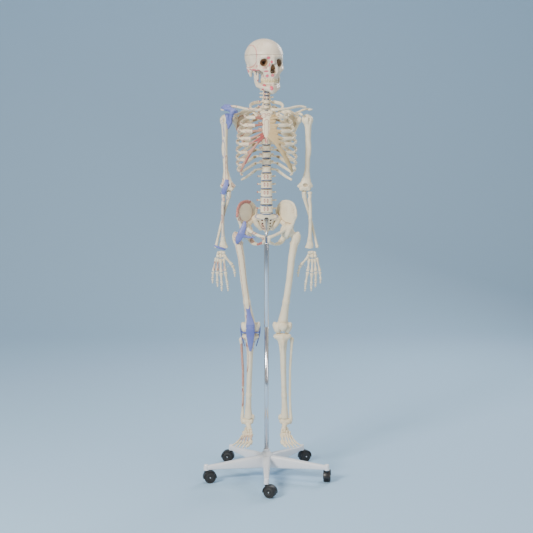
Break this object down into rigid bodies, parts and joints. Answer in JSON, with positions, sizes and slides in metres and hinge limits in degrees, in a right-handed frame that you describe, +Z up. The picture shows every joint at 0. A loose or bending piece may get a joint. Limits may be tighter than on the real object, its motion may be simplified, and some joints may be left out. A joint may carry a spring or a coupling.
{
  "type": "anatomical skeleton model on castor stand",
  "caption": "Life-size jointed human skeleton teaching model hung on a steel pole over a star base with swivel castors, one side with painted muscle marks and ligaments",
  "frame": {"origin": "middle of the bounding box's footprint on the floor, under the castors", "axes": "+Z up along the pole, -Y is the way the skeleton's chest faces, +X is its left side"},
  "size_m": [0.5282, 0.5362, 1.798],
  "materials": {
    "bone": "off-white vinyl bone with tan shading, low sheen",
    "skull_shell": "off-white vinyl skull, smooth satin",
    "rib_plastic": "off-white vinyl ribs with tan cartilage",
    "disc": "flexible blue-grey vinyl",
    "pole_metal": "bright plated tube, polished",
    "swivel_steel": "plated steel hardware",
    "base_white": "white moulded nylon, semi-gloss",
    "castor_black": "black moulded nylon, satin",
    "wheel_black": "black hard nylon tread, satin"
  },
  "bodies": {
    "trunk": {"star_base": "base_white", "pole_lower": "pole_metal", "pole_upper": "pole_metal", "pelvis_rod": "swivel_steel", "sacrum": "bone", "pubic_disc": "disc", "lumbar_spine": "bone", "thoracic_spine": "bone", "cervical_spine": "bone", "sternum": "bone", "hip_bone_left": "bone", "rib_cage_left": "rib_plastic", "rib_11_left": "bone", "rib_12_left": "bone", "clavicle_left": "bone", "scapula_left": "bone", "hip_bone_right": "bone", "rib_cage_right": "rib_plastic", "rib_11_right": "bone", "rib_12_right": "bone", "clavicle_right": "bone", "scapula_right": "bone"},
    "castor_1": {"castor_hood_1": "castor_black"},
    "wheels_1": {"castor_wheels_1": "wheel_black"},
    "castor_2": {"castor_hood_2": "castor_black"},
    "wheels_2": {"castor_wheels_2": "wheel_black"},
    "castor_3": {"castor_hood_3": "castor_black"},
    "wheels_3": {"castor_wheels_3": "wheel_black"},
    "castor_4": {"castor_hood_4": "castor_black"},
    "wheels_4": {"castor_wheels_4": "wheel_black"},
    "castor_5": {"castor_hood_5": "castor_black"},
    "wheels_5": {"castor_wheels_5": "wheel_black"},
    "skull": {"cranium": "skull_shell"},
    "cap": {"skull_cap": "skull_shell"},
    "jaw": {"mandible": "skull_shell"},
    "shoulder_left": {"shoulder_swivel_left": "swivel_steel"},
    "upper_arm_left": {"humerus_left": "bone"},
    "forearm_left": {"ulna_left": "bone", "radius_left": "bone"},
    "hand_left": {"hand_left": "bone"},
    "hip_left": {"hip_swivel_left": "swivel_steel"},
    "thigh_left": {"femur_left": "bone", "patella_left": "bone"},
    "shank_left": {"tibia_left": "bone", "fibula_left": "bone"},
    "foot_left": {"foot_left": "bone"},
    "shoulder_right": {"shoulder_swivel_right": "swivel_steel"},
    "upper_arm_right": {"humerus_right": "bone"},
    "forearm_right": {"ulna_right": "bone", "radius_right": "bone"},
    "hand_right": {"hand_right": "bone"},
    "hip_right": {"hip_swivel_right": "swivel_steel"},
    "thigh_right": {"femur_right": "bone", "patella_right": "bone"},
    "shank_right": {"tibia_right": "bone", "fibula_right": "bone"},
    "foot_right": {"foot_right": "bone"}
  },
  "joints": [
    {"name": "castor_swivel_1", "type": "hinge", "parent": "trunk", "child": "castor_1", "pos_m": [-0.00242, -0.23697, 0], "axis": [0, 0, 1], "continuous": true},
    {"name": "castor_roll_1", "type": "hinge", "parent": "castor_1", "child": "wheels_1", "pos_m": [0.01118, -0.2433, 0.024], "axis": [-0.4226, -0.9063, 0], "continuous": true},
    {"name": "castor_swivel_2", "type": "hinge", "parent": "trunk", "child": "castor_2", "pos_m": [0.24486, -0.05731, 0], "axis": [0, 0, 1], "continuous": true},
    {"name": "castor_roll_2", "type": "hinge", "parent": "castor_2", "child": "wheels_2", "pos_m": [0.24643, -0.04239, 0.024], "axis": [0.9945, -0.1045, 0], "continuous": true},
    {"name": "castor_swivel_3", "type": "hinge", "parent": "trunk", "child": "castor_3", "pos_m": [0.15041, 0.23338, 0], "axis": [0, 0, 1], "continuous": true},
    {"name": "castor_roll_3", "type": "hinge", "parent": "castor_3", "child": "wheels_3", "pos_m": [0.16313, 0.24133, 0.024], "axis": [0.5299, -0.848, 0], "continuous": true},
    {"name": "castor_swivel_4", "type": "hinge", "parent": "trunk", "child": "castor_4", "pos_m": [-0.15524, 0.23338, 0], "axis": [0, 0, 1], "continuous": true},
    {"name": "castor_roll_4", "type": "hinge", "parent": "castor_4", "child": "wheels_4", "pos_m": [-0.17009, 0.23547, 0.024], "axis": [0.1392, 0.9903, 0], "continuous": true},
    {"name": "castor_swivel_5", "type": "hinge", "parent": "trunk", "child": "castor_5", "pos_m": [-0.24969, -0.05731, 0], "axis": [0, 0, 1], "continuous": true},
    {"name": "castor_roll_5", "type": "hinge", "parent": "castor_5", "child": "wheels_5", "pos_m": [-0.23502, -0.05419, 0.024], "axis": [0.2079, -0.9781, 0], "continuous": true},
    {"name": "head_turn", "type": "hinge", "parent": "trunk", "child": "skull", "pos_m": [-0.00742, 0.02504, 1.656], "axis": [0, 0, 1], "range_deg": [-100, 40]},
    {"name": "cap_lift", "type": "slide", "parent": "skull", "child": "cap", "axis": [0, 0, 1], "range_m": [0, 0.12]},
    {"name": "jaw_open", "type": "hinge", "parent": "skull", "child": "jaw", "pos_m": [-0.00416, 0.01773, 1.67], "axis": [0.9135, 0.4067, 0], "range_deg": [0, 22], "stiffness_Nm_per_rad": 0.4, "springref_deg": -14.32},
    {"name": "shoulder_flex_left", "type": "hinge", "parent": "trunk", "child": "shoulder_left", "pos_m": [0.16058, 0.05303, 1.478], "axis": [-1, 0, 0], "range_deg": [-40, 120]},
    {"name": "shoulder_raise_left", "type": "hinge", "parent": "shoulder_left", "child": "upper_arm_left", "pos_m": [0.16058, 0.05303, 1.478], "axis": [0, -1, 0], "range_deg": [0, 80]},
    {"name": "elbow_bend_left", "type": "hinge", "parent": "upper_arm_left", "child": "forearm_left", "pos_m": [0.15758, 0.05303, 1.2], "axis": [-1, 0, 0], "range_deg": [0, 110]},
    {"name": "wrist_bend_left", "type": "hinge", "parent": "forearm_left", "child": "hand_left", "pos_m": [0.18658, 0.05303, 0.945], "axis": [-1, 0, 0], "range_deg": [-50, 50]},
    {"name": "hip_flex_left", "type": "hinge", "parent": "trunk", "child": "hip_left", "pos_m": [0.08458, 0.02104, 1.03], "axis": [-1, 0, 0], "range_deg": [-20, 90]},
    {"name": "hip_spread_left", "type": "hinge", "parent": "hip_left", "child": "thigh_left", "pos_m": [0.08458, 0.02104, 1.03], "axis": [0, -1, 0], "range_deg": [0, 25]},
    {"name": "knee_bend_left", "type": "hinge", "parent": "thigh_left", "child": "shank_left", "pos_m": [0.06358, 0.03104, 0.628], "axis": [1, 0, 0], "range_deg": [0, 110]},
    {"name": "ankle_bend_left", "type": "hinge", "parent": "shank_left", "child": "foot_left", "pos_m": [0.07558, 0.03503, 0.236], "axis": [1, 0, 0], "range_deg": [-15, 25]},
    {"name": "shoulder_flex_right", "type": "hinge", "parent": "trunk", "child": "shoulder_right", "pos_m": [-0.16542, 0.05303, 1.478], "axis": [-1, 0, 0], "range_deg": [-40, 120]},
    {"name": "shoulder_raise_right", "type": "hinge", "parent": "shoulder_right", "child": "upper_arm_right", "pos_m": [-0.16542, 0.05303, 1.478], "axis": [0, 1, 0], "range_deg": [0, 80]},
    {"name": "elbow_bend_right", "type": "hinge", "parent": "upper_arm_right", "child": "forearm_right", "pos_m": [-0.16242, 0.05303, 1.2], "axis": [-1, 0, 0], "range_deg": [0, 110]},
    {"name": "wrist_bend_right", "type": "hinge", "parent": "forearm_right", "child": "hand_right", "pos_m": [-0.19142, 0.05303, 0.945], "axis": [-1, 0, 0], "range_deg": [-50, 50]},
    {"name": "hip_flex_right", "type": "hinge", "parent": "trunk", "child": "hip_right", "pos_m": [-0.08942, 0.02104, 1.03], "axis": [-1, 0, 0], "range_deg": [-20, 90]},
    {"name": "hip_spread_right", "type": "hinge", "parent": "hip_right", "child": "thigh_right", "pos_m": [-0.08942, 0.02104, 1.03], "axis": [0, 1, 0], "range_deg": [0, 25]},
    {"name": "knee_bend_right", "type": "hinge", "parent": "thigh_right", "child": "shank_right", "pos_m": [-0.06842, 0.03104, 0.628], "axis": [1, 0, 0], "range_deg": [0, 110]},
    {"name": "ankle_bend_right", "type": "hinge", "parent": "shank_right", "child": "foot_right", "pos_m": [-0.08042, 0.03503, 0.236], "axis": [1, 0, 0], "range_deg": [-15, 25]}
  ]
}
